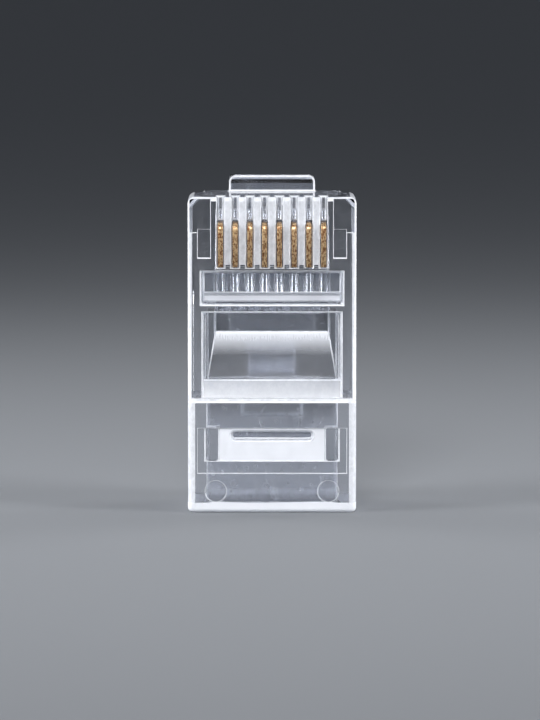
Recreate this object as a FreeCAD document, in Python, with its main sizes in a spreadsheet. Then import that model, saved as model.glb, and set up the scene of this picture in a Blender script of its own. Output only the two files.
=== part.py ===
"""An eight-way modular plug for network cable, before it is crimped on.

It stands on its cable end. +Z is the way the plug goes into its jack, the contacts are on the -Y side
and the latch lever is on the +Y side. The origin is the middle of the cable entry, at the cable end.
All sizes are in millimetres.
"""

import FreeCAD
import Part
import Sketcher

import math
import os

WAYS = 8
DRIVING_SIZES = {
    # outside of the moulding
    "body_width": 11.68,
    "plug_length": 21.9,
    "front_depth": 6.6,
    "collar_length": 7.95,
    "collar_contact_height": 0.6,
    "collar_latch_height": 0.8,
    "collar_corner": 0.6,
    "front_corner": 0.35,
    "shoulder_round": 0.35,
    "nose_corner": 0.5,
    "rim_round": 0.3,
    "lead_in_width": 1.1,
    "lead_in_length": 1.2,
    "lead_in_depth": 1.8,
    # cable cavity
    "side_wall": 1.27,
    "collar_wall": 1.0,
    "contact_wall": 0.9,
    "latch_wall": 0.75,
    "cavity_neck_length": 0.75,
    "mouth_chamfer": 0.4,
    # jacket clamp and its window
    "clamp_window_ledge": 0.2,
    "shelf_length": 1.25,
    "hinge_web": 0.4,
    "clamp_rise": 0.1,
    "clamp_side_gap": 0.1,
    "clamp_taper": 0.52,
    "clamp_free_gap": 1.21,
    "clamp_curve": 9.0,
    "clamp_bite": 0.25,
    # wires
    "wire_spacing": 1.02,
    "rib_width": 0.2,
    "rib_height": 0.55,
    "rib_point": 0.35,
    "bore_dip": 0.05,
    "wire_depth": 1.05,
    "wire_ceiling": 1.1,
    "ramp_length": 1.95,
    "nose_wall": 0.95,
    # conductor clamp and its window
    "bridge_length": 0.62,
    "bar_seat": 0.9,
    "bar_window_length": 2.29,
    "bar_recess": 0.85,
    "bar_step_depth": 0.4,
    "bar_step_length": 0.6,
    "bar_plate": 0.75,
    "bar_foot_gap": 0.1,
    "wire_groove_radius": 0.36,
    "wire_groove_depth": 0.2,
    # contacts and their slots
    "slot_width": 0.45,
    "slot_wall": 0.25,
    "front_slot_depth": 1.4,
    "front_land": 1.75,
    "contact_thickness": 0.35,
    "contact_length": 3.05,
    "contact_proud": 0.2,
    "contact_nose_radius": 0.45,
    "contact_body": 1.55,
    "tine_width": 0.55,
    "tine_length": 0.8,
    "tine_point": 0.4,
    "tine_inset": 0.5,
    # details moulded into the outside
    "sight_panel_start": 2.75,
    "sight_panel_inset": 0.66,
    "sight_panel_depth": 0.06,
    "sight_window_start": 3.6,
    "sight_window_length": 2.3,
    "sight_window_depth": 0.15,
    "sight_opening": 0.83,
    "groove_inset": 0.89,
    "groove_height": 0.62,
    "groove_start": 1.45,
    "groove_depth": 0.5,
    "pin_mark_radius": 0.75,
    "pin_mark_inset": 0.67,
    "pin_mark_level": 1.5,
    "mark_depth": 0.06,
    "cheek_mark_width": 0.9,
    "cheek_mark_length": 2.0,
    "cheek_mark_inset": 0.69,
    "cheek_mark_rise": 0.66,
    "cheek_mark_depth": 0.12,
    "cheek_step_length": 2.47,
    "cheek_step_depth": 0.08,
    "finger_recess_width": 4.2,
    "finger_recess_length": 1.7,
    # latch
    "latch_width": 6.02,
    "tongue_rise": 1.15,
    "tongue_thickness": 1.2,
    "tongue_corner": 0.5,
    "knuckle_radius": 0.4,
    "lever_length": 13.6,
    "lever_thickness": 1.05,
    "lever_width": 3.25,
    "lever_taper_start": 1.2,
    "lever_taper_length": 1.2,
    "shoulder_from_front": 8.1,
    "lever_tip_round": 0.35,
    "grip_groove": 0.4,
    "grip_spacing": 0.9,
    "grip_depth": 0.22,
    "grip_start": 0.8,
    # clearances
    "hinge_gap": 0.03,
    "side_gap": 0.05,
    # how far a cut runs past a face and how far an added piece sinks into one
    "overrun": 1.0,
    "sink": 0.1,
}
LATCH_ANGLE = 17.0
GRIP_GROOVES = 3


class Length:
    """A length with its present value and the expression that works it out from the sheet."""

    def __init__(self, value, text):
        self.value = value
        self.text = text

    def __add__(self, other):
        return Length(self.value + other.value, f"({self.text} + {other.text})")

    def __sub__(self, other):
        return Length(self.value - other.value, f"({self.text} - {other.text})")

    def __mul__(self, factor):
        return Length(self.value * factor, f"({self.text} * {factor})")

    def __truediv__(self, factor):
        return Length(self.value / factor, f"({self.text} / {factor})")

    def __neg__(self):
        return Length(-self.value, f"(-1 * {self.text})")


class Sizes:
    """The driving sizes, kept in a spreadsheet and read as attributes."""

    def __init__(self, document, table):
        sheet = document.addObject("Spreadsheet::Sheet", "Sizes")
        for row, (alias, value) in enumerate(table.items(), 1):
            sheet.set(f"A{row}", alias)
            sheet.set(f"B{row}", str(value))
            sheet.setAlias(f"B{row}", alias)
            setattr(self, alias, Length(value, f"Sizes.{alias}"))


doc = FreeCAD.newDocument("ModularPlug")
size = Sizes(doc, DRIVING_SIZES)
doc.recompute()
ZERO = Length(0.0, "0")

# Faces and levels that several pieces share. Y runs from the contacts to the latch, Z from the cable
# end to the front.
contact_face = -size.front_depth / 2
latch_face = size.front_depth / 2
collar_contact_face = contact_face - size.collar_contact_height
collar_latch_face = latch_face + size.collar_latch_height
cavity_ceiling = contact_face + size.contact_wall
cavity_floor = latch_face - size.latch_wall
slot_end = size.plug_length - size.front_land
slot_start = slot_end - size.contact_length - size.side_gap * 2
bar_window_end = slot_start - size.slot_wall
bar_window_start = bar_window_end - size.bar_window_length
clamp_window_end = bar_window_start - size.bridge_length
half_width = size.body_width / 2
half_cavity = half_width - size.side_wall
wire_top = -size.wire_ceiling
wire_floor = wire_top + size.wire_depth
wire_end = size.plug_length - size.nose_wall
half_wires = (size.wire_spacing * WAYS - size.rib_width) / 2
half_bar_window = half_wires + size.bar_seat
first_way = -size.wire_spacing * ((WAYS - 1) / 2)
clamp_hinge_y = cavity_ceiling - size.hinge_web / 2
clamp_hinge_z = size.collar_length + size.shelf_length + size.hinge_gap + size.hinge_web / 2
latch_hinge_y = latch_face + size.hinge_gap + size.knuckle_radius
latch_hinge_z = size.plug_length + size.tongue_rise - size.tongue_corner


def new_body(label):
    body = doc.addObject("PartDesign::Body", label)
    body.Label = label
    return body


def origin_feature(body, role):
    return next(item for item in body.Origin.OriginFeatures if item.Role == role)


def new_sketch(body, name, role, offset=ZERO):
    """A sketch on one of the body's own origin planes, moved along that plane's normal."""
    sketch = body.newObject("Sketcher::SketchObject", name)
    sketch.AttachmentSupport = [(origin_feature(body, role), "")]
    sketch.MapMode = "FlatFace"
    sketch.setExpression("AttachmentOffset.Base.z", offset.text)
    return sketch


def hold(sketch, kind, where, length):
    """Adds a dimension to a sketch and binds it to its expression."""
    number = sketch.addConstraint(Sketcher.Constraint(kind, *where, length.value))
    sketch.setExpression(f"Constraints[{number}]", length.text)


def arc_through(start, end, radius):
    """The shorter arc from start to end, bulging to the left of the way there."""
    chord = end - start
    height = math.sqrt(radius**2 - (chord.Length / 2) ** 2)
    left = FreeCAD.Vector(-chord.y, chord.x, 0).normalize()
    middle = (start + end) * 0.5 + left * (radius - height)
    return Part.Arc(start, middle, end)


def outline(sketch, corners, arcs=None):
    """Draws a closed outline. arcs gives the radius of each side that is an arc, by its first corner."""
    arcs = arcs or {}
    points = [FreeCAD.Vector(x.value, y.value, 0) for x, y in corners]
    ends = []
    for number, start in enumerate(points):
        end = points[(number + 1) % len(points)]
        if number in arcs:
            side = sketch.addGeometry(arc_through(start, end, arcs[number].value))
            hold(sketch, "Radius", (side,), arcs[number])
            forward = sketch.getPoint(side, 1).distanceToPoint(start) < 1e-6
            ends.append((side, 1, 2) if forward else (side, 2, 1))
        else:
            side = sketch.addGeometry(Part.LineSegment(start, end))
            ends.append((side, 1, 2))
    for number, (side, first, _) in enumerate(ends):
        before, _, last = ends[number - 1]
        sketch.addConstraint(Sketcher.Constraint("Coincident", before, last, side, first))
        hold(sketch, "DistanceX", (side, first), corners[number][0])
        hold(sketch, "DistanceY", (side, first), corners[number][1])


def rectangle(sketch, left, right, low, high):
    outline(sketch, [(left, low), (right, low), (right, high), (left, high)])


def both_sides(sketch, near, far, low, high):
    """A rectangle and its mirror image across the sketch's upright axis."""
    rectangle(sketch, near, far, low, high)
    rectangle(sketch, -far, -near, low, high)


def disc(sketch, x, y, radius):
    centre = FreeCAD.Vector(x.value, y.value, 0)
    ring = sketch.addGeometry(Part.Circle(centre, FreeCAD.Vector(0, 0, 1), radius.value))
    hold(sketch, "DistanceX", (ring, 3), x)
    hold(sketch, "DistanceY", (ring, 3), y)
    hold(sketch, "Radius", (ring,), radius)


def obround(sketch, half_length, level, radius):
    """A slot with round ends, centred on the sketch's upright axis."""
    up = FreeCAD.Vector(0, 0, 1)
    reach = half_length.value - radius.value
    caps = []
    for side, turn in ((-1, math.pi / 2), (1, -math.pi / 2)):
        circle = Part.Circle(FreeCAD.Vector(side * reach, level.value, 0), up, radius.value)
        cap = sketch.addGeometry(Part.ArcOfCircle(circle, turn, turn + math.pi))
        hold(sketch, "DistanceX", (cap, 3), (half_length - radius) * side)
        hold(sketch, "DistanceY", (cap, 3), level)
        hold(sketch, "Radius", (cap,), radius)
        caps.append(cap)
    left, right = caps
    for start, end in (((left, 2), (right, 1)), ((right, 2), (left, 1))):
        points = [sketch.getPoint(*place) for place in (start, end)]
        side = sketch.addGeometry(Part.LineSegment(*points))
        sketch.addConstraint(Sketcher.Constraint("Coincident", side, 1, *start))
        sketch.addConstraint(Sketcher.Constraint("Coincident", side, 2, *end))
    for cap, level_end in ((left, 1), (left, 2), (right, 1), (right, 2)):
        sketch.addConstraint(Sketcher.Constraint("Vertical", cap, 3, cap, level_end))


def extrude(kind, sketch, name, length, symmetric=False, reverse=False):
    """A Pad or a Pocket of a sketch, in the sketch's own body."""
    body = sketch.getParentGeoFeatureGroup()
    feature = body.newObject(f"PartDesign::{kind}", name)
    feature.Profile = sketch
    feature.SideType = "Symmetric" if symmetric else "One side"
    feature.Reversed = reverse
    feature.setExpression("Length", length.text)
    return feature


def pad(sketch, name, length, **options):
    return extrude("Pad", sketch, name, length, **options)


def pocket(sketch, name, length, **options):
    return extrude("Pocket", sketch, name, length, **options)


def repeat(body, name, originals, count, step):
    """Copies features along +X."""
    pattern = body.newObject("PartDesign::LinearPattern", name)
    pattern.Originals = originals
    pattern.Direction = (origin_feature(body, "X_Axis"), [""])
    pattern.Mode = "Spacing"
    pattern.Occurrences = count
    pattern.setExpression("Offset", step.text)
    body.Tip = pattern
    return pattern


def dress_edges(kind, body, name, wanted):
    """A Fillet or Chamfer on those edges of the body's last feature that wanted() accepts."""
    doc.recompute()
    base = body.Tip
    names = [f"Edge{number}" for number, edge in enumerate(base.Shape.Edges, 1) if wanted(edge)]
    dressing = body.newObject(f"PartDesign::{kind}", name)
    dressing.Base = (base, names)
    return dressing


def round_edges(body, name, radius, wanted):
    dress_edges("Fillet", body, name, wanted).setExpression("Radius", radius.text)


def bevel_edges(body, name, width, wanted):
    dress_edges("Chamfer", body, name, wanted).setExpression("Size", width.text)


def runs_along(edge, axis):
    """Whether an edge is straight and parallel to one axis."""
    box = edge.BoundBox
    spans = {"x": box.XLength, "y": box.YLength, "z": box.ZLength}
    return all((span < 1e-4) != (name == axis) for name, span in spans.items())


def lies_at(edge, axis, level):
    """Whether a whole edge is at one level along an axis."""
    box = edge.BoundBox
    low, high = {"x": (box.XMin, box.XMax), "y": (box.YMin, box.YMax), "z": (box.ZMin, box.ZMax)}[axis]
    return abs(low - level.value) < 1e-4 and abs(high - level.value) < 1e-4


def front_block():
    """The part of the moulding that goes into the jack, as a block with rounded edges."""
    body = new_body("front_block")
    start = size.collar_length / 2
    section = new_sketch(body, "FrontSection", "XY_Plane", start)
    rectangle(section, -half_width, half_width, contact_face, latch_face)
    pad(section, "FrontPad", size.plug_length - start)
    lead_in = new_sketch(body, "LeadInOutline", "XZ_Plane", -latch_face)
    near = half_width - size.lead_in_width
    far = half_width + size.overrun
    for sign in (1, -1):
        outline(
            lead_in,
            [
                (near * sign, size.plug_length),
                (half_width * sign, size.plug_length - size.lead_in_length),
                (far * sign, size.plug_length - size.lead_in_length),
                (far * sign, size.plug_length + size.overrun),
                (near * sign, size.plug_length + size.overrun),
            ],
        )
    pocket(lead_in, "LeadIn", size.lead_in_depth, reverse=True)

    def at_a_side(edge):
        return lies_at(edge, "x", half_width) or lies_at(edge, "x", -half_width)

    round_edges(
        body,
        "NoseCorners",
        size.nose_corner,
        lambda edge: runs_along(edge, "y") and lies_at(edge, "z", size.plug_length) and at_a_side(edge),
    )
    round_edges(
        body,
        "FrontFaceEdges",
        size.front_corner,
        lambda edge: lies_at(edge, "y", contact_face) and edge.BoundBox.ZMax > size.collar_length.value,
    )
    round_edges(
        body,
        "BackCorners",
        size.front_corner,
        lambda edge: runs_along(edge, "z") and lies_at(edge, "y", latch_face) and at_a_side(edge),
    )
    return body


def collar(body):
    """The deeper cable end of the moulding."""
    section = new_sketch(body, "CollarSection", "XY_Plane")
    rectangle(section, -half_width, half_width, collar_contact_face, collar_latch_face)
    pad(section, "CollarPad", size.collar_length)
    round_edges(body, "CollarCorners", size.collar_corner, lambda edge: runs_along(edge, "z"))
    round_edges(
        body,
        "CollarShoulder",
        size.shoulder_round,
        lambda edge: lies_at(edge, "z", size.collar_length),
    )
    round_edges(body, "CollarRim", size.rim_round, lambda edge: lies_at(edge, "z", ZERO))


def latch_tongue(body):
    """The tongue on the nose that the latch lever hangs from."""
    section = new_sketch(body, "TongueOutline", "XZ_Plane", -latch_face)
    half = size.latch_width / 2
    rectangle(section, -half, half, size.plug_length - size.overrun, size.plug_length + size.tongue_rise)
    pad(section, "Tongue", size.tongue_thickness)
    round_edges(
        body,
        "TongueCorners",
        size.tongue_corner,
        lambda edge: runs_along(edge, "y") and lies_at(edge, "z", size.plug_length + size.tongue_rise),
    )


def cable_cavity(body):
    """The cable entry, the jacket clamp's window and the ramp that lifts the wires."""
    section = new_sketch(body, "CavitySection", "YZ_Plane")
    neck = size.collar_length - size.cavity_neck_length
    entry_ceiling = collar_contact_face + size.collar_wall
    entry_floor = collar_latch_face - size.collar_wall
    outline(
        section,
        [
            (entry_ceiling, -size.overrun),
            (entry_floor, -size.overrun),
            (entry_floor, neck),
            (cavity_floor, size.collar_length),
            (cavity_floor, clamp_window_end),
            (cavity_ceiling, clamp_window_end),
            (cavity_ceiling, size.collar_length),
            (entry_ceiling, neck),
        ],
    )
    pocket(section, "Cavity", half_cavity * 2, symmetric=True)
    reach = half_cavity.value + 1e-4
    bevel_edges(
        body,
        "CavityMouth",
        size.mouth_chamfer,
        lambda edge: lies_at(edge, "z", ZERO)
        and edge.BoundBox.XMax < reach
        and edge.BoundBox.YMin > entry_ceiling.value - 1e-4
        and edge.BoundBox.YMax < entry_floor.value + 1e-4,
    )

    window = new_sketch(body, "ClampWindowSection", "YZ_Plane")
    shelf_end = size.collar_length + size.shelf_length
    outline(
        window,
        [
            (collar_contact_face - size.overrun, size.collar_length),
            (contact_face, size.collar_length),
            (cavity_ceiling - size.hinge_web, shelf_end),
            (cavity_ceiling, shelf_end),
            (cavity_ceiling, clamp_window_end),
            (collar_contact_face - size.overrun, clamp_window_end),
        ],
    )
    pocket(window, "ClampWindow", (half_cavity + size.clamp_window_ledge) * 2, symmetric=True)

    ramp = new_sketch(body, "RampSection", "YZ_Plane")
    outline(
        ramp,
        [
            (cavity_floor, clamp_window_end - size.ramp_length),
            (wire_floor, clamp_window_end),
            (wire_floor, clamp_window_end + size.sink),
            (cavity_floor + size.sink, clamp_window_end + size.sink),
            (cavity_floor + size.sink, clamp_window_end - size.ramp_length),
        ],
    )
    pad(ramp, "Ramp", half_wires * 2, symmetric=True)


def wire_ways(body):
    """The chamber under the conductor clamp, its window and the eight round ways for the wires, open
    between ribs in the chamber and blind in the nose, each with a slot for its contact."""
    chamber = new_sketch(body, "ChamberSection", "YZ_Plane")
    outline(
        chamber,
        [
            (wire_floor, clamp_window_end - size.sink),
            (wire_floor, slot_start),
            (wire_top, slot_start),
            (wire_top, bar_window_start),
            (cavity_ceiling, clamp_window_end),
            (cavity_ceiling, clamp_window_end - size.sink),
        ],
    )
    pocket(chamber, "Chamber", half_wires * 2, symmetric=True)

    window = new_sketch(body, "BarWindowOutline", "XZ_Plane", -wire_top)
    rectangle(window, -half_bar_window, half_bar_window, bar_window_start, bar_window_end)
    pocket(window, "BarWindow", wire_top - contact_face + size.overrun, reverse=True)

    rib = new_sketch(body, "RibSection", "YZ_Plane")
    tip = clamp_window_end - size.rib_point
    rib_top = wire_floor - size.rib_height
    outline(
        rib,
        [
            (wire_floor, tip),
            (rib_top, tip + size.rib_point),
            (rib_top, slot_start),
            (wire_floor, slot_start),
        ],
    )
    pad(rib, "Ribs", -first_way * 2, symmetric=True)

    bore = new_sketch(body, "BoreSection", "XY_Plane", tip - size.sink)
    radius = (size.wire_spacing - size.rib_width) / 2
    bore_middle = wire_floor + size.bore_dip - radius
    disc(bore, first_way, bore_middle, radius)
    first_bore = pocket(bore, "Bore", wire_end - tip + size.sink, reverse=True)

    slot = new_sketch(body, "SlotSection", "YZ_Plane", first_way)
    outline(
        slot,
        [
            (contact_face - size.overrun, slot_start),
            (bore_middle, slot_start),
            (bore_middle, slot_end),
            (contact_face + size.front_slot_depth, slot_end),
            (contact_face + size.front_slot_depth, size.plug_length + size.overrun),
            (contact_face - size.overrun, size.plug_length + size.overrun),
        ],
    )
    first_slot = pocket(slot, "Slot", size.slot_width, symmetric=True)
    repeat(body, "Ways", [first_bore, first_slot], WAYS, size.wire_spacing)


def moulded_marks(body):
    """The sight window in its shallow panel across the collar and the other marks on the outside."""
    start = size.sight_window_start
    end = start + size.sight_window_length
    half_bar = half_cavity - size.sight_opening
    panel = new_sketch(body, "SightPanelOutline", "XZ_Plane", -collar_contact_face)
    half_panel = half_width - size.sight_panel_inset
    rectangle(panel, -half_panel, half_panel, size.sight_panel_start, end)
    pocket(panel, "SightPanel", size.sight_panel_depth)

    recess = new_sketch(body, "SightRecessOutline", "XZ_Plane", -collar_contact_face)
    rectangle(recess, -half_cavity, half_cavity, start, end)
    pocket(recess, "SightRecess", size.sight_window_depth)

    openings = new_sketch(body, "SightOpeningsOutline", "XZ_Plane", -collar_contact_face)
    both_sides(openings, half_bar, half_cavity, start, end)
    pocket(openings, "SightOpenings", size.collar_wall + size.overrun)

    groove = new_sketch(body, "GrooveOutline", "XZ_Plane", -collar_contact_face)
    radius = size.groove_height / 2
    obround(groove, half_bar - size.groove_inset, start + size.groove_start + radius, radius)
    pocket(groove, "Groove", size.sight_window_depth + size.groove_depth)

    pins = new_sketch(body, "PinMarksOutline", "XZ_Plane", -collar_contact_face)
    for side in (-1, 1):
        across = (half_cavity - size.pin_mark_inset) * side
        disc(pins, across, size.pin_mark_level, size.pin_mark_radius)
    pocket(pins, "PinMarks", size.mark_depth)

    marks = new_sketch(body, "CheekMarksOutline", "XZ_Plane", -contact_face)
    outer = half_width - size.cheek_mark_inset
    inner = outer - size.cheek_mark_width
    low = slot_start + size.cheek_mark_rise
    both_sides(marks, inner, outer, low, low + size.cheek_mark_length)
    pocket(marks, "CheekMarks", size.cheek_mark_depth)

    step = new_sketch(body, "CheekStepOutline", "XZ_Plane", -contact_face)
    far = half_width + size.overrun
    end = size.plug_length + size.overrun
    both_sides(step, inner, far, size.plug_length - size.cheek_step_length, end)
    pocket(step, "CheekStep", size.cheek_step_depth)

    recess = new_sketch(body, "FingerRecessOutline", "XZ_Plane", -latch_face)
    half = size.finger_recess_width / 2
    top = size.collar_length
    rectangle(recess, -half, half, top - size.finger_recess_length, top + size.overrun)
    pocket(recess, "FingerRecess", size.collar_latch_height + size.overrun)


def housing():
    """The one-piece clear moulding that holds everything else."""
    front = front_block()
    body = new_body("housing")
    collar(body)
    join = body.newObject("PartDesign::Boolean", "JoinFront")
    join.Type = "Fuse"
    join.addObject(front)
    latch_tongue(body)
    cable_cavity(body)
    wire_ways(body)
    moulded_marks(body)
    return body


def latch_lever():
    """The sprung lever, drawn along its own -Z from the hinge and turned out by its rest angle."""
    body = new_body("latch_lever")
    inner = -size.knuckle_radius
    outer = inner + size.lever_thickness
    side = new_sketch(body, "LeverSection", "YZ_Plane")
    outline(
        side,
        [
            (inner, ZERO),
            (inner, -size.lever_length),
            (outer, -size.lever_length),
            (outer, -size.lever_taper_start - size.lever_taper_length),
            (size.knuckle_radius, -size.lever_taper_start),
            (size.knuckle_radius, ZERO),
        ],
    )
    pad(side, "Lever", size.latch_width, symmetric=True)
    knuckle = new_sketch(body, "KnuckleSection", "YZ_Plane")
    disc(knuckle, ZERO, ZERO, size.knuckle_radius)
    pad(knuckle, "Knuckle", size.latch_width, symmetric=True)

    shoulder = -(latch_hinge_z - size.plug_length) - size.shoulder_from_front
    plan = new_sketch(body, "LeverPlan", "XZ_Plane", -outer - size.overrun)
    far = size.latch_width / 2 + size.overrun
    both_sides(plan, size.lever_width / 2, far, -size.lever_length - size.overrun, shoulder)
    pocket(plan, "LeverSides", size.lever_thickness + size.overrun * 2, reverse=True)

    root = new_sketch(body, "LeverRootPlan", "XZ_Plane", -outer - size.overrun)
    edge = size.latch_width / 2
    top = size.knuckle_radius
    clear = top + size.overrun
    round_start = top - size.tongue_corner
    near = edge - size.tongue_corner
    right = [(near, top), (edge, round_start), (far, round_start), (far, clear), (near, clear)]
    left = [(-edge, round_start), (-near, top), (-near, clear), (-far, clear), (-far, round_start)]
    outline(root, right, {0: size.tongue_corner})
    outline(root, left, {0: size.tongue_corner})
    pocket(root, "LeverRootCorners", size.lever_thickness + size.overrun * 2, reverse=True)
    round_edges(
        body,
        "LeverTip",
        size.lever_tip_round,
        lambda edge: runs_along(edge, "x") and lies_at(edge, "z", -size.lever_length),
    )
    grip = new_sketch(body, "GripSection", "YZ_Plane")
    for groove in range(GRIP_GROOVES):
        low = -size.lever_length + size.grip_start + size.grip_spacing * groove
        outline(
            grip,
            [
                (outer + size.sink, low),
                (outer + size.sink, low + size.grip_groove),
                (outer, low + size.grip_groove),
                (outer - size.grip_depth, low + size.grip_groove / 2),
                (outer, low),
            ],
        )
    pocket(grip, "GripGrooves", size.lever_width, symmetric=True)

    turn = FreeCAD.Rotation(FreeCAD.Vector(1, 0, 0), LATCH_ANGLE)
    body.Placement = FreeCAD.Placement(FreeCAD.Vector(), turn)
    body.setExpression("Placement.Base.y", latch_hinge_y.text)
    body.setExpression("Placement.Base.z", latch_hinge_z.text)
    return body


def jacket_clamp():
    """The wedge that the crimping tool turns in onto the cable's jacket, with a crest at its free end."""
    body = new_body("jacket_clamp")
    crest = contact_face + size.clamp_rise
    tip = clamp_window_end - size.clamp_free_gap
    wide = half_cavity - size.clamp_side_gap
    narrow = wide - size.clamp_taper
    half_web = size.hinge_web / 2
    section = new_sketch(body, "ClampSection", "YZ_Plane")
    outline(
        section,
        [
            (clamp_hinge_y + half_web, clamp_hinge_z),
            (clamp_hinge_y - half_web, clamp_hinge_z),
            (crest, tip),
            (cavity_ceiling + size.clamp_bite, tip - size.clamp_bite),
            (cavity_ceiling, tip - size.clamp_bite * 3),
        ],
        {1: size.clamp_curve},
    )
    pad(section, "ClampWedge", wide * 2, symmetric=True)
    root = new_sketch(body, "ClampRootSection", "YZ_Plane")
    disc(root, clamp_hinge_y, clamp_hinge_z, half_web)
    pad(root, "ClampRoot", wide * 2, symmetric=True)

    taper = new_sketch(body, "ClampTaper", "XZ_Plane", -contact_face + size.overrun)
    for sign in (1, -1):
        outline(
            taper,
            [
                (wide * sign, clamp_hinge_z),
                ((wide + size.overrun) * sign, clamp_hinge_z),
                ((wide + size.overrun) * sign, tip + size.overrun),
                (narrow * sign, tip + size.overrun),
                (narrow * sign, tip),
            ],
        )
    pocket(taper, "ClampSides", size.front_depth)
    return body


def conductor_clamp():
    """The bar that the tool presses onto the eight wires, a plate with a narrower foot."""
    body = new_body("conductor_clamp")
    low = bar_window_start + size.side_gap
    high = bar_window_end - size.side_gap
    top = contact_face + size.bar_recess
    step = low + size.bar_step_length
    plate = new_sketch(body, "PlateSection", "YZ_Plane")
    underside = top + size.bar_plate
    outline(
        plate,
        [
            (top + size.bar_step_depth, low),
            (top + size.bar_step_depth, step),
            (top, step),
            (top, high),
            (underside, high),
            (underside, low),
        ],
    )
    pad(plate, "Plate", (half_bar_window - size.side_gap) * 2, symmetric=True)
    foot = new_sketch(body, "FootSection", "YZ_Plane")
    sole = wire_top - size.bar_foot_gap
    outline(
        foot,
        [
            (underside - size.side_gap, low),
            (underside, low),
            (sole, step),
            (sole, high),
            (underside - size.side_gap, high),
        ],
    )
    pad(foot, "Foot", (half_wires - size.side_gap) * 2, symmetric=True)
    groove = new_sketch(body, "WireGrooveSection", "XY_Plane", low - size.overrun)
    radius = size.wire_groove_radius
    disc(groove, first_way, sole + radius - size.wire_groove_depth, radius)
    first_groove = pocket(groove, "WireGroove", high - low + size.overrun * 2, reverse=True)
    repeat(body, "WireGrooves", [first_groove], WAYS, size.wire_spacing)
    return body


def contact(number):
    """One blade, as high as it stands before crimping, with two tines over its wire."""
    body = new_body(f"contact_{number + 1}")
    rear = slot_start + size.side_gap
    front = rear + size.contact_length
    top = contact_face - size.contact_proud
    root = top + size.contact_body
    nose = size.contact_nose_radius
    corners = [(root, rear), (top, rear), (top, front - nose), (top + nose, front), (root, front)]
    for middle in (front - size.tine_inset, rear + size.tine_inset):
        for across, down in ((0.5, 0), (0.5, 1), (0, 2), (-0.5, 1), (-0.5, 0)):
            depth = size.tine_length if down == 2 else size.tine_point * down
            corners.append((root + depth, middle + size.tine_width * across))
    profile = new_sketch(body, "BladeOutline", "YZ_Plane")
    outline(profile, corners, {2: nose})
    pad(profile, "Blade", size.contact_thickness, symmetric=True)
    body.setExpression("Placement.Base.x", (first_way + size.wire_spacing * number).text)
    return body


def check(body):
    """Stops if a feature failed, if a cut removed nothing or if a pad added nothing."""
    volume = 0.0
    for feature in body.Group:
        state = set(feature.State)
        if state & {"Invalid", "Error"}:
            raise RuntimeError(f"{body.Label}: {feature.Name} is {sorted(state)}")
        if not feature.isDerivedFrom("PartDesign::Feature"):
            continue
        added = feature.Shape.Volume - volume
        volume = feature.Shape.Volume
        if feature.TypeId == "PartDesign::Pocket" and added > -1e-6:
            raise RuntimeError(f"{body.Label}: {feature.Name} cut nothing")
        if feature.TypeId == "PartDesign::Pad" and added < 1e-6:
            raise RuntimeError(f"{body.Label}: {feature.Name} added nothing")
    shape = body.Shape
    if shape.isNull() or not shape.isValid() or len(shape.Solids) != 1:
        raise RuntimeError(f"{body.Label}: not one valid solid")


def main():
    pieces = [housing(), latch_lever(), jacket_clamp(), conductor_clamp()]
    pieces += [contact(number) for number in range(WAYS)]
    doc.recompute()
    os.makedirs("parts", exist_ok=True)
    for piece in pieces:
        check(piece)
        piece.Shape.exportStep(f"parts/{piece.Label}.step")
        box = piece.Shape.BoundBox
        print(f"{piece.Label}: {piece.Shape.Volume:.2f} mm3, z {box.ZMin:.2f} to {box.ZMax:.2f}")


main()
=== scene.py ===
"""Looks of a clear modular plug, laid out as a Blender add-on and run as a script.

Everything is in metres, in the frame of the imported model: +Z is the way the plug goes into its jack,
the contacts are on the -Y side and the latch lever is on the +Y side.
"""

import math

import bmesh
import bpy
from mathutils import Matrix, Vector


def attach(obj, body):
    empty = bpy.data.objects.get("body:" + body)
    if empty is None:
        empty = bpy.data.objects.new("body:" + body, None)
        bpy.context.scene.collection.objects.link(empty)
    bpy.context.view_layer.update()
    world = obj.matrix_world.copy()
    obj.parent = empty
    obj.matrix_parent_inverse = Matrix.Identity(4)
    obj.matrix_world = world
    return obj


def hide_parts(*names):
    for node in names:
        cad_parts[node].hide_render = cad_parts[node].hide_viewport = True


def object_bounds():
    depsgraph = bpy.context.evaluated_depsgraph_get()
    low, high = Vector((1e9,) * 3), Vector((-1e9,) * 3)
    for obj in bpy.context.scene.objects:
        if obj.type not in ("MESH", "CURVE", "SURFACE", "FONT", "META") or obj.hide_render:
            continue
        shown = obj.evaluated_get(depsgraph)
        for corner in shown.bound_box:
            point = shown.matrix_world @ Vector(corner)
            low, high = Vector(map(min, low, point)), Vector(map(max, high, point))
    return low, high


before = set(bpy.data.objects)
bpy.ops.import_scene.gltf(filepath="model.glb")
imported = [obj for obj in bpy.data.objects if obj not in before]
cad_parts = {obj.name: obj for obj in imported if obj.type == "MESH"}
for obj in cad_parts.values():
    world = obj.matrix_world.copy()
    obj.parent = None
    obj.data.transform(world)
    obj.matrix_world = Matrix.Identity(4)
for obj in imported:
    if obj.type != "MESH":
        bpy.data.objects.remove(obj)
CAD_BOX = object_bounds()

bl_info = {
    "name": "Modular Plug Looks",
    "version": (1, 0, 0),
    "blender": (4, 5, 0),
    "location": "View3D > Sidebar > Plug",
    "description": "Finishes a clear modular plug and sets up its studio",
    "category": "Object",
}

MM = 0.001
CONTACTS = sorted(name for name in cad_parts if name.startswith("contact_"))
# places of a clear piece's finishes in its list of materials; the brushed one also holds a painted highlight
POLISHED, SATIN, FROSTED, EDGE, BRUSHED_PAINTED_HIGHLIGHT = range(5)

# how near two vertices of a node are merged
MERGE_DISTANCE = 0.001 * MM
# an edge is rounded from SHARP_BEND on, and by the whole width from SHARP_BEND + BEND_SPAN on, in degrees
SHARP_BEND = 40.0
BEND_SPAN = 25.0
# the share of the room beside an edge that its rounding takes
ROOM_SHARE = 0.4
# how much the rounding may change from one edge to the next, and how often that is gone over
WEIGHT_STEP = 0.15
WEIGHT_PASSES = 12
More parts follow.
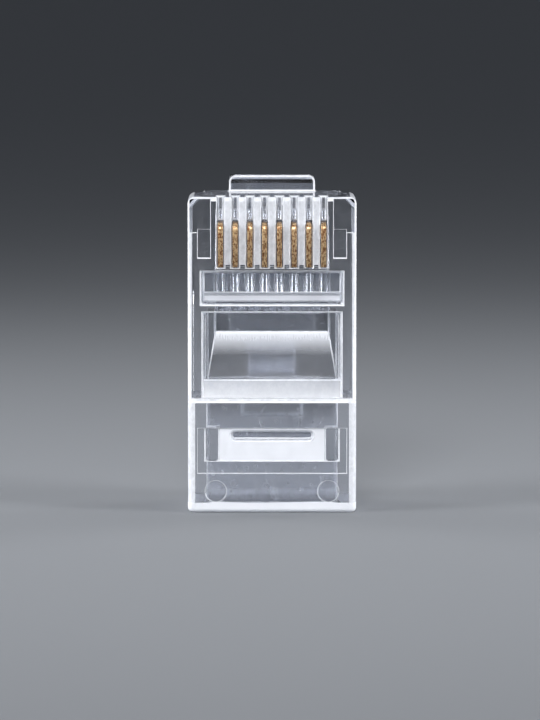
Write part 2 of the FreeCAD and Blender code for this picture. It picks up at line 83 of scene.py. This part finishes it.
# bends below this, in degrees, belong to a smooth face
FLAT_BEND = 3.0
# height in millimetres at which a finish's fade along Z ends
FADE_TOP = 23.0


def linear(hex_code):
    """An sRGB hex colour as linear RGBA."""
    channels = [int(hex_code[place : place + 2], 16) / 255 for place in (1, 3, 5)]
    return [c / 12.92 if c <= 0.04045 else ((c + 0.055) / 1.055) ** 2.4 for c in channels] + [1.0]


def colour(name, description, hex_code):
    return bpy.props.FloatVectorProperty(
        name=name,
        description=description,
        default=linear(hex_code),
        subtype="COLOR",
        size=4,
        min=0.0,
        max=1.0,
    )


def length(name, description, metres):
    return bpy.props.FloatProperty(name=name, description=description, default=metres, unit="LENGTH")


def angle(name, description, degrees):
    value = math.radians(degrees)
    return bpy.props.FloatProperty(name=name, description=description, default=value, subtype="ANGLE")


def share(name, description, value):
    return bpy.props.FloatProperty(
        name=name, description=description, default=value, subtype="FACTOR", min=0.0, max=1.0
    )


class PlugFinish(bpy.types.PropertyGroup):
    """Colours and finishes of the plug."""

    polycarbonate: colour("Polycarbonate", "Colour that the clear plastic passes", "#F2F5FC")
    polished_clearness: share(
        "Polished clearness", "Share of light that a polished face doesn't scatter", 0.97
    )
    satin_clearness: share("Satin clearness", "Share of light that a satin face doesn't scatter", 0.84)
    frosted_clearness: share("Frosted clearness", "Share of light that a frosted face doesn't scatter", 0.14)
    edge_clearness: share("Edge clearness", "Share of light that a rounded edge doesn't scatter", 0.25)
    brushed_clearness: share("Brushed clearness", "Share of light that the clamp's face doesn't scatter", 0.9)
    core_roughness: share("Core roughness", "Roughness that the cores leave", 0.18)
    moulded_edge: length("Moulded edge", "Rounding that the mould leaves on sharp edges", 0.13 * MM)
    latch_edge: length("Latch edge", "Rounding of the latch lever's edges", 0.08 * MM)
    clamp_edge: length("Clamp edge", "Rounding of the clamps' edges", 0.16 * MM)
    gold: colour("Gold plating", "Colour of the plated contacts", "#E6C79B")
    bronze: colour("Thin plating", "Colour where the bronze shows through", "#7C5032")
    stamped_edge: length("Stamped edge", "Rounding of the contacts' edges", 0.04 * MM)


class PlugStudio(bpy.types.PropertyGroup):
    """Floor, lights and camera."""

    paper: colour("Paper", "Colour of the floor and backdrop", "#85888D")
    air: colour("Air", "Colour of the light from all round", "#DDE2EA")
    air_strength: share("Air strength", "Strength of the light from all round", 0.25)
    camera_distance: length("Camera distance", "From the camera to the point that it looks at", 0.346)
    camera_elevation: angle("Camera elevation", "How far the camera looks down", 6.0)
    view_height: length("View height", "Height of the picture at the plug", 0.05035)
    aim_height: length("Aim height", "Height of the point that the camera looks at", 0.01024)
    aim_side: length("Aim side", "How far that point is along X", -0.00014)


def add_node(tree, kind, settings, links=None):
    """Adds a shader node. Keys are its own properties, or the names or numbers of its inputs."""
    node = tree.nodes.new(kind)
    for key, value in settings.items():
        if isinstance(key, int) or key in node.inputs:
            node.inputs[key].default_value = value
        else:
            setattr(node, key, value)
    for key, output in (links or {}).items():
        tree.links.new(output, node.inputs[key])
    return node


def new_tree(name):
    """An empty material and its node tree."""
    material = bpy.data.materials.new(name)
    material.use_nodes = True
    material.node_tree.nodes.clear()
    return material, material.node_tree


def polycarbonate(name, finish, roughness, clearness, grain, depth, haze, fade=None):
    """Clear polycarbonate, injection moulded: it bends light strongly and takes on the mould's own face.

    grain is how often the relief repeats per metre along X, Y and Z, and depth how deep it is. haze is how
    much the share of light that the face scatters varies, in clouds about 0.5 mm across. fade lists heights
    in millimetres with what to multiply the clearness by there, and a duller place is also rougher.
    """
    material, tree = new_tree(name)
    place = add_node(tree, "ShaderNodeTexCoord", {})
    scaled = add_node(tree, "ShaderNodeMapping", {"Scale": grain}, {"Vector": place.outputs["Object"]})
    texture = add_node(
        tree,
        "ShaderNodeTexNoise",
        {"Scale": 1.0, "Detail": 3.0, "Roughness": 0.55},
        {"Vector": scaled.outputs["Vector"]},
    )
    gloss = add_node(
        tree,
        "ShaderNodeMapRange",
        {"To Min": roughness * 0.7, "To Max": roughness * 1.3},
        {"Value": texture.outputs["Fac"]},
    ).outputs["Result"]
    cloud_place = add_node(
        tree, "ShaderNodeMapping", {"Scale": (1800.0, 1800.0, 1200.0)}, {"Vector": place.outputs["Object"]}
    )
    clouds = add_node(
        tree,
        "ShaderNodeTexNoise",
        {"Scale": 1.0, "Detail": 6.0, "Roughness": 0.75},
        {"Vector": cloud_place.outputs["Vector"]},
    )
    clear = add_node(
        tree,
        "ShaderNodeMapRange",
        {
            "From Min": 0.38,
            "From Max": 0.62,
            "To Min": max(clearness - haze, 0.0),
            "To Max": min(clearness + haze, 1.0),
        },
        {"Value": clouds.outputs["Fac"]},
    ).outputs["Result"]
    # a fade whitens the face by height; the brushed finish uses it to paint a highlight
    if fade:
        height = add_node(tree, "ShaderNodeSeparateXYZ", {}, {"Vector": place.outputs["Object"]})
        along = add_node(
            tree, "ShaderNodeMapRange", {"From Max": FADE_TOP * MM}, {"Value": height.outputs["Z"]}
        )
        faded = add_node(tree, "ShaderNodeValToRGB", {}, {"Fac": along.outputs["Result"]})
        stops = faded.color_ramp.elements
        stops.remove(stops[1])
        for number, (level, part) in enumerate(fade):
            stop = stops.new(level / FADE_TOP) if number else stops[0]
            stop.position = level / FADE_TOP
            stop.color = (part, part, part, 1.0)
        clear = add_node(
            tree, "ShaderNodeMath", {"operation": "MULTIPLY"}, {0: clear, 1: faded.outputs["Color"]}
        ).outputs["Value"]
        dull = add_node(
            tree, "ShaderNodeMapRange", {"To Min": 1.1, "To Max": 0.5}, {"Value": faded.outputs["Color"]}
        )
        gloss = add_node(
            tree, "ShaderNodeMath", {"operation": "MULTIPLY"}, {0: gloss, 1: dull.outputs["Result"]}
        ).outputs["Value"]
    plastic = add_node(
        tree,
        "ShaderNodeBsdfPrincipled",
        {"Base Color": finish.polycarbonate, "IOR": 1.585},
        {"Roughness": gloss, "Transmission Weight": clear},
    )
    if depth:
        relief = add_node(
            tree, "ShaderNodeBump", {"Strength": 0.5, "Distance": depth}, {"Height": texture.outputs["Fac"]}
        )
        tree.links.new(relief.outputs["Normal"], plastic.inputs["Normal"])
    add_node(tree, "ShaderNodeOutputMaterial", {}, {"Surface": plastic.outputs["BSDF"]})
    return material


def moulded_finishes(finish):
    """The finishes of a clear piece, in the order of their places.

    Polished comes from the polished cavity: clear and glossy, with flow ripples about 1 mm across. Satin
    comes from spark-eroded cores that slide out along the plug, which leave fine drag lines along Z and a
    cloudy look. Frosted is a coarser spark-eroded patch, white in any light. Edge is the dulled line that
    the mould leaves where two faces meet, which catches the light. Brushed is the satin of the jacket clamp
    and its shelf, with drag lines along Z. Its whitening by height is a painted highlight: the clamp's crest
    is made whitest, as light from above falls on it, clear at mid-height and a little whiter again low down.
    """
    # repeats per metre: ripples 1.1 and 1.7 mm long, drag lines 0.08 mm wide and 2 mm long, sparks 0.17 mm
    ripples = (900.0, 900.0, 600.0)
    drag = (12000.0, 12000.0, 500.0)
    sparks = (6000.0, 6000.0, 6000.0)
    # painted highlight: heights in mm and how much of the brushed face's clearness is kept there, whitest at
    # the clamp's crest
    painted_highlight_by_height = ((7.9, 0.7), (9.3, 0.8), (9.5, 0.95), (10.9, 1.0), (11.5, 0.7), (12.5, 0.1))
    return [
        polycarbonate(
            "polycarbonate_polished", finish, 0.03, finish.polished_clearness, ripples, 0.004 * MM, 0.02
        ),
        polycarbonate(
            "polycarbonate_satin_core",
            finish,
            finish.core_roughness,
            finish.satin_clearness,
            drag,
            0.001 * MM,
            0.14,
        ),
        polycarbonate(
            "polycarbonate_frosted", finish, 0.5, finish.frosted_clearness, sparks, 0.006 * MM, 0.08
        ),
        polycarbonate(
            "polycarbonate_dulled_edge", finish, 0.2, finish.edge_clearness, sparks, 0.002 * MM, 0.1
        ),
        polycarbonate(
            "polycarbonate_brushed_painted_highlight",
            finish,
            0.3,
            finish.brushed_clearness,
            drag,
            0.0,
            0.03,
            painted_highlight_by_height,
        ),
    ]


def plated_bronze(finish):
    """Phosphor bronze, stamped and gold plated: a warm metal, brown in specks where the plating is thin.

    The specks are about 0.1 mm wide and drawn out to 0.17 mm along Z, as the rolling of the strip leaves
    them. They stand out as a faint relief.
    """
    material, tree = new_tree("gold_plated_phosphor_bronze")
    place = add_node(tree, "ShaderNodeTexCoord", {})
    rolled = add_node(
        tree,
        "ShaderNodeMapping",
        {"Scale": (11000.0, 11000.0, 6000.0)},
        {"Vector": place.outputs["Object"]},
    )
    specks = add_node(
        tree,
        "ShaderNodeTexNoise",
        {"Scale": 1.0, "Detail": 3.0, "Roughness": 0.6},
        {"Vector": rolled.outputs["Vector"]},
    )
    cover = add_node(
        tree, "ShaderNodeMapRange", {"From Min": 0.4, "From Max": 0.58}, {"Value": specks.outputs["Fac"]}
    )
    plating = add_node(
        tree,
        "ShaderNodeMix",
        {"data_type": "RGBA", 6: finish.bronze, 7: finish.gold},
        {0: cover.outputs["Result"]},
    )
    gloss = add_node(
        tree, "ShaderNodeMapRange", {"To Min": 0.55, "To Max": 0.4}, {"Value": cover.outputs["Result"]}
    )
    relief = add_node(
        tree, "ShaderNodeBump", {"Strength": 0.6, "Distance": 0.008 * MM}, {"Height": specks.outputs["Fac"]}
    )
    metal = add_node(
        tree,
        "ShaderNodeBsdfPrincipled",
        {"Metallic": 1.0},
        {
            "Base Color": plating.outputs[2],
            "Roughness": gloss.outputs["Result"],
            "Normal": relief.outputs["Normal"],
        },
    )
    add_node(tree, "ShaderNodeOutputMaterial", {}, {"Surface": metal.outputs["BSDF"]})
    return material


def background_paper(studio):
    """Matt background paper: no shine, and a felted surface about 1 mm in grain."""
    material, tree = new_tree("matt_background_paper")
    place = add_node(tree, "ShaderNodeTexCoord", {})
    felt = add_node(
        tree, "ShaderNodeTexNoise", {"Scale": 900.0, "Detail": 2.0}, {"Vector": place.outputs["Object"]}
    )
    relief = add_node(
        tree, "ShaderNodeBump", {"Strength": 0.05, "Distance": 0.02 * MM}, {"Height": felt.outputs["Fac"]}
    )
    paper = add_node(
        tree,
        "ShaderNodeBsdfPrincipled",
        {"Base Color": studio.paper, "Roughness": 0.85, "Specular IOR Level": 0.2},
        {"Normal": relief.outputs["Normal"]},
    )
    add_node(tree, "ShaderNodeOutputMaterial", {}, {"Surface": paper.outputs["BSDF"]})
    return material


def room_inwards(loop):
    """How far a face reaches inwards from one of its edges, at the nearest of three places on it."""
    start = loop.vert.co
    along = loop.link_loop_next.vert.co - start
    inwards = loop.face.normal.cross(along.normalized())
    nearest = math.inf
    least_reach = 1e-7
    for part in (0.15, 0.5, 0.85):
        foot = start + along * part
        for other in loop.face.loops:
            if other == loop:
                continue
            one = other.vert.co - foot
            two = other.link_loop_next.vert.co - foot
            direction = along.normalized()
            left, right = one.dot(direction), two.dot(direction)
            if left * right > 0 or left == right:
                continue
            reach = one.dot(inwards) + (two.dot(inwards) - one.dot(inwards)) * left / (left - right)
            if reach > least_reach:
                nearest = min(nearest, reach)
    return nearest


def room_at_ends(loop):
    """The shorter of the two edges of a face that turn off from one of its edges by 30 degrees or more."""
    along = (loop.link_loop_next.vert.co - loop.vert.co).normalized()
    nearest = math.inf
    for other in (loop.link_loop_prev, loop.link_loop_next):
        side = other.link_loop_next.vert.co - other.vert.co
        if abs(side.normalized().dot(along)) < 0.87:  # cosine of 30 degrees
            nearest = min(nearest, side.length)
    return nearest


def weigh_edges(mesh, width):
    """Marks the sharp edges of a mesh to be rounded.

    An edge is rounded by less than the width where there is little room beside it or where it is blunt, and
    the rounding changes little by little along a line of edges.
    """
    work = bmesh.new()
    work.from_mesh(mesh)
    weights = {}
    for edge in work.edges:
        bend = math.degrees(edge.calc_face_angle(0.0)) if edge.is_manifold else 0.0
        if bend > SHARP_BEND:
            room = min(min(room_inwards(loop), room_at_ends(loop)) for loop in edge.link_loops)
            weights[edge] = min(1.0, ROOM_SHARE * room / width, (bend - SHARP_BEND) / BEND_SPAN)
        else:
            weights[edge] = 0.0

    for _ in range(WEIGHT_PASSES):
        for vertex in work.verts:
            for edge in vertex.link_edges:
                if not weights[edge]:
                    continue
                along = (edge.other_vert(vertex).co - vertex.co).normalized()
                for other in vertex.link_edges:
                    if other == edge or not other.is_manifold:
                        continue
                    onward = (other.other_vert(vertex).co - vertex.co).normalized()
                    bend = math.degrees(other.calc_face_angle(0.0))
                    if along.dot(onward) < -0.8 and bend > FLAT_BEND:
                        weights[edge] = min(weights[edge], weights[other] + WEIGHT_STEP)
    marks = mesh.attributes.new("bevel_weight_edge", "FLOAT", "EDGE")
    for edge, weight in weights.items():
        marks.data[edge.index].value = weight
    work.free()


def round_edges(piece, width, finish_place):
    """Rounds the marked edges of a piece."""
    bevel = piece.modifiers.new("rounded_edges", "BEVEL")
    bevel.width = width
    bevel.segments = 2
    bevel.limit_method = "WEIGHT"
    bevel.use_clamp_overlap = False
    bevel.material = finish_place
    bpy.ops.object.modifier_apply(modifier=bevel.name)


def finish_node(node, body, width, materials, choose=None, edge_finish=-1, cuts=()):
    """A copy of a CAD node with whole faces and rounded edges, which stands for the node.

    choose(centre, normal, area) gives the place in materials of a face's material, in millimetres, and
    edge_finish is the place of the rounded edges' material, or -1 where they take their neighbours'. Faces
    are divided at cuts, each an axis, a place along it, and the lowest and highest corner of the box that the
    cut is in. A finish can end there, and a face with a hole stays in plain parts.
    """
    bpy.ops.object.select_all(action="DESELECT")
    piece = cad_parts[node].copy()
    piece.data = piece.data.copy()
    piece.name = f"finished_{node}"
    piece.parent = None
    bpy.context.scene.collection.objects.link(piece)
    bpy.context.view_layer.objects.active = piece
    piece.select_set(True)
    bpy.ops.object.mode_set(mode="EDIT")
    bpy.ops.mesh.select_all(action="SELECT")
    bpy.ops.mesh.remove_doubles(threshold=MERGE_DISTANCE)
    bpy.ops.mesh.normals_make_consistent(inside=False)
    for axis, place, low, high in cuts:
        across = [float(name == axis) for name in "XYZ"]
        bpy.ops.mesh.select_all(action="DESELECT")
        bpy.ops.object.mode_set(mode="OBJECT")
        for face in piece.data.polygons:
            face.select = all(a < part < b for a, part, b in zip(low, face.center / MM, high))
        bpy.ops.object.mode_set(mode="EDIT")
        bpy.ops.mesh.bisect(plane_co=[part * place * MM for part in across], plane_no=across)
        bpy.ops.mesh.mark_seam()
    bpy.ops.mesh.select_all(action="SELECT")
    bpy.ops.mesh.dissolve_limited(angle_limit=math.radians(0.5), delimit={"SEAM"})
    bpy.ops.object.mode_set(mode="OBJECT")

    piece.data.materials.clear()
    for material in materials:
        piece.data.materials.append(material)
    for face in piece.data.polygons:
        face.material_index = choose(face.center / MM, face.normal, face.area / MM**2) if choose else 0

    weigh_edges(piece.data, width)
    round_edges(piece, width, edge_finish)
    bpy.ops.object.mode_set(mode="EDIT")
    bpy.ops.mesh.select_all(action="SELECT")
    bpy.ops.mesh.remove_doubles(threshold=MERGE_DISTANCE)
    bpy.ops.mesh.dissolve_limited(angle_limit=math.radians(0.3), delimit={"MATERIAL", "SEAM"})
    bpy.ops.object.mode_set(mode="OBJECT")
    bpy.ops.object.shade_smooth_by_angle(angle=math.radians(35))
    flat = piece.modifiers.new("flat_faces", "WEIGHTED_NORMAL")
    flat.weight = 100
    flat.keep_sharp = True
    bpy.ops.object.modifier_apply(modifier=flat.name)
    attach(piece, body)
    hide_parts(node)
    return piece


def soft_box(name, size, place, aim, watts, spread):
    """A rectangular soft box with a grid that narrows its light. It faces a point and is itself not seen."""
    lamp = bpy.data.lights.new(name, "AREA")
    lamp.shape = "RECTANGLE"
    lamp.size, lamp.size_y = size
    lamp.energy = watts
    lamp.spread = math.radians(spread)
    holder = bpy.data.objects.new(name, lamp)
    bpy.context.scene.collection.objects.link(holder)
    holder.location = place
    holder.rotation_euler = (aim - Vector(place)).to_track_quat("-Z", "Y").to_euler()
    holder.visible_camera = False


class PLUG_OT_stage(bpy.types.Operator):
    """Sets up the paper sweep, the soft boxes and the camera"""

    bl_idname = "plug.stage"
    bl_label = "Studio"

    def execute(self, context):
        studio = context.scene.plug_studio
        scene = context.scene
        scene.view_settings.view_transform = "Standard"
        # clear plastic needs many bounces before light leaves it
        scene.cycles.max_bounces = 24
        scene.cycles.transmission_bounces = 24
        scene.cycles.glossy_bounces = 12

        # a round floor of paper that curves up all round, far enough off to show no edge
        bpy.ops.object.select_all(action="DESELECT")
        steps, bend, floor = 24, 1.6, 0.5
        bpy.ops.mesh.primitive_circle_add(vertices=128, radius=floor, fill_type="NGON")
        sweep = context.object
        sweep.name = "paper_sweep"
        bpy.ops.object.mode_set(mode="EDIT")
        bpy.ops.mesh.select_mode(type="EDGE")
        bpy.ops.mesh.region_to_loop()
        out, up = floor, 0.0
        for step in range(1, steps + 1):
            turned = math.pi / 2 * step / steps
            new_out = floor + bend * math.sin(turned)
            new_up = bend * (1 - math.cos(turned))
            bpy.ops.mesh.extrude_edges_move()
            bpy.ops.transform.resize(value=(new_out / out, new_out / out, 1.0))
            bpy.ops.transform.translate(value=(0.0, 0.0, new_up - up))
            out, up = new_out, new_up
        bpy.ops.object.mode_set(mode="OBJECT")
        bpy.ops.object.shade_smooth()
        sweep.data.materials.append(background_paper(studio))

        low, high = (Vector(corner) for corner in CAD_BOX)
        middle = Vector((0.0, 0.0, (low.z + high.z) / 2))
        # name, size, place, watts and spread in degrees: the strips draw the side edges, the rims light the
        # back, and the key stands high enough for the jacket clamp to mirror it at its crest alone
        for name, size, place, watts, spread in (
            ("left_strip", (0.08, 0.18), (-0.24, -0.08, 0.10), 0.11, 80),
            ("right_strip", (0.08, 0.18), (0.24, -0.08, 0.10), 0.11, 80),
            ("left_rim", (0.10, 0.12), (-0.23, 0.12, 0.05), 0.07, 70),
            ("right_rim", (0.10, 0.12), (0.23, 0.12, 0.05), 0.07, 70),
            ("overhead", (0.30, 0.20), (0.0, 0.10, 0.28), 0.05, 70),
            ("key", (0.14, 0.10), (-0.04, -0.39, 0.23), 0.14, 60),
        ):
            soft_box(name, size, place, middle, watts, spread)

        air = bpy.data.worlds.new("studio_air")
        air.use_nodes = True
        air.node_tree.nodes["Background"].inputs["Color"].default_value = studio.air
        air.node_tree.nodes["Background"].inputs["Strength"].default_value = studio.air_strength
        scene.world = air

        lens = bpy.data.cameras.new("camera")
        lens.sensor_width = 36.0
        lens.lens = lens.sensor_width * studio.camera_distance / studio.view_height
        lens.clip_start = 0.01
        lens.clip_end = 20.0
        camera = bpy.data.objects.new("camera", lens)
        scene.collection.objects.link(camera)
        aim = Vector((studio.aim_side, 0.0, studio.aim_height))
        tilt = studio.camera_elevation
        back = Vector((0.0, -math.cos(tilt), math.sin(tilt)))
        camera.location = aim + back * studio.camera_distance
        camera.rotation_euler = (-back).to_track_quat("-Z", "Y").to_euler()
        scene.camera = camera
        return {"FINISHED"}


class PLUG_OT_housing(bpy.types.Operator):
    """Finishes the clear housing, polished outside and satin where cores formed it"""

    bl_idname = "plug.housing"
    bl_label = "Housing"

    def execute(self, context):
        finish = context.scene.plug_finish

        # places in millimetres: where the frosted rim ends, and where the ribs between the contacts start
        rim, rib_start = 0.7, 17.2
        # the jacket clamp's window and the wire channels, between which the outside is polished
        clamp_window_end, channel_start, channel_end = 13.95, 16.9, 21.8

        def finish_of(centre, normal, area):
            beside = abs(centre.x)
            facing_front = normal.y < -0.9
            slanted = max(abs(part) for part in normal) < 0.985
            inside = beside < 4.8 and -3.1 < centre.y < 3.15
            among_slots = beside < 3.8 and 17.5 < centre.z < 21.9
            # the window of the sight panel
            if beside < 3.7 and -3.8 < centre.y < -3.7 and 3.6 < centre.z < 5.9:
                return FROSTED
            if centre.z < rim:
                return FROSTED if centre.y < -3.2 or beside > 5.0 or centre.y > 3.4 else EDGE
            # the shelf under the jacket clamp, in the brushed finish with its painted highlight
            if inside and 7.9 < centre.z < 9.2 and facing_front:
                return BRUSHED_PAINTED_HIGHLIGHT
            # the fronts of the ribs between the contacts, and their clear sides
            if among_slots and centre.y < -3.2 and facing_front:
                return EDGE
            if among_slots and centre.y < -0.7 and abs(normal.x) > 0.9:
                return POLISHED
            # what the cores formed, apart from the wall behind the windows
            if inside and (centre.z < clamp_window_end or channel_start < centre.z < channel_end):
                return POLISHED if centre.y > 2 and facing_front else SATIN
            # chamfers and lead-ins
            if slanted and area < 6.0 and not inside:
                return EDGE
            return POLISHED

        finish_node(
            "housing",
            "housing",
            finish.moulded_edge,
            moulded_finishes(finish),
            finish_of,
            EDGE,
            (
                ("X", 0.0, (-5, -4, 2.7), (5, -2.8, 6)),
                ("Z", rim, (-6, -4, 0.1), (6, 4.5, 23)),
                ("Z", rib_start, (-6, -3.4, 8), (6, -3.2, 23)),
            ),
        )
        return {"FINISHED"}


class PLUG_OT_latch(bpy.types.Operator):
    """Finishes the sprung latch lever"""

    bl_idname = "plug.latch"
    bl_label = "Latch lever"

    def execute(self, context):
        finish = context.scene.plug_finish
        materials = moulded_finishes(finish)

        def finish_of(centre, normal, area):
            small_and_slanted = max(abs(part) for part in normal) < 0.9 and area < 1.0
            # the root, where the hinge has worked the plastic dull
            root_face = centre.z > 21.0 and abs(normal.y) > 0.9
            if small_and_slanted:
                return EDGE
            return SATIN if root_face else POLISHED

        finish_node("latch_lever", "latch", finish.latch_edge, materials, finish_of, EDGE)
        return {"FINISHED"}


class PLUG_OT_clamps(bpy.types.Operator):
    """Finishes the satin jacket clamp and the polished conductor clamp"""

    bl_idname = "plug.clamps"
    bl_label = "Clamps"

    def execute(self, context):
        finish = context.scene.plug_finish
        materials = moulded_finishes(finish)

        def finish_of_jacket_clamp(centre, normal, area):
            # the clamp's front is brushed, and its whitening towards the crest is a painted highlight
            return POLISHED if normal.y > 0.9 else BRUSHED_PAINTED_HIGHLIGHT

        def finish_of_conductor_clamp(centre, normal, area):
            # the low step of the bar is frosted, the plate above it clear
            if normal.y < -0.9 and centre.z < 15.1:
                return FROSTED
            return SATIN if normal.y > 0.5 else POLISHED

        for node, finish_of in (
            ("jacket_clamp", finish_of_jacket_clamp),
            ("conductor_clamp", finish_of_conductor_clamp),
        ):
            finish_node(node, node, finish.clamp_edge, materials, finish_of, EDGE)
        return {"FINISHED"}


class PLUG_OT_contacts(bpy.types.Operator):
    """Finishes the eight plated contacts"""

    bl_idname = "plug.contacts"
    bl_label = "Contacts"

    def execute(self, context):
        finish = context.scene.plug_finish
        bronze = plated_bronze(finish)
        for node in CONTACTS:
            finish_node(node, node, finish.stamped_edge, [bronze])
        return {"FINISHED"}


STEPS = (PLUG_OT_stage, PLUG_OT_housing, PLUG_OT_latch, PLUG_OT_clamps, PLUG_OT_contacts)


class PLUG_PT_panel(bpy.types.Panel):
    """Lists the steps that finish the plug"""

    bl_idname = "PLUG_PT_panel"
    bl_label = "Modular plug"
    bl_space_type = "VIEW_3D"
    bl_region_type = "UI"
    bl_category = "Plug"

    def draw(self, context):
        for step in STEPS:
            self.layout.operator(step.bl_idname)


CLASSES = (PlugFinish, PlugStudio, *STEPS, PLUG_PT_panel)


def register():
    for cls in CLASSES:
        bpy.utils.register_class(cls)
    bpy.types.Scene.plug_finish = bpy.props.PointerProperty(type=PlugFinish)
    bpy.types.Scene.plug_studio = bpy.props.PointerProperty(type=PlugStudio)


def unregister():
    del bpy.types.Scene.plug_studio
    del bpy.types.Scene.plug_finish
    for cls in reversed(CLASSES):
        bpy.utils.unregister_class(cls)


def main():
    register()
    bpy.ops.plug.stage()
    bpy.ops.plug.housing()
    bpy.ops.plug.latch()
    bpy.ops.plug.clamps()
    bpy.ops.plug.contacts()


if __name__ == "__main__":
    main()
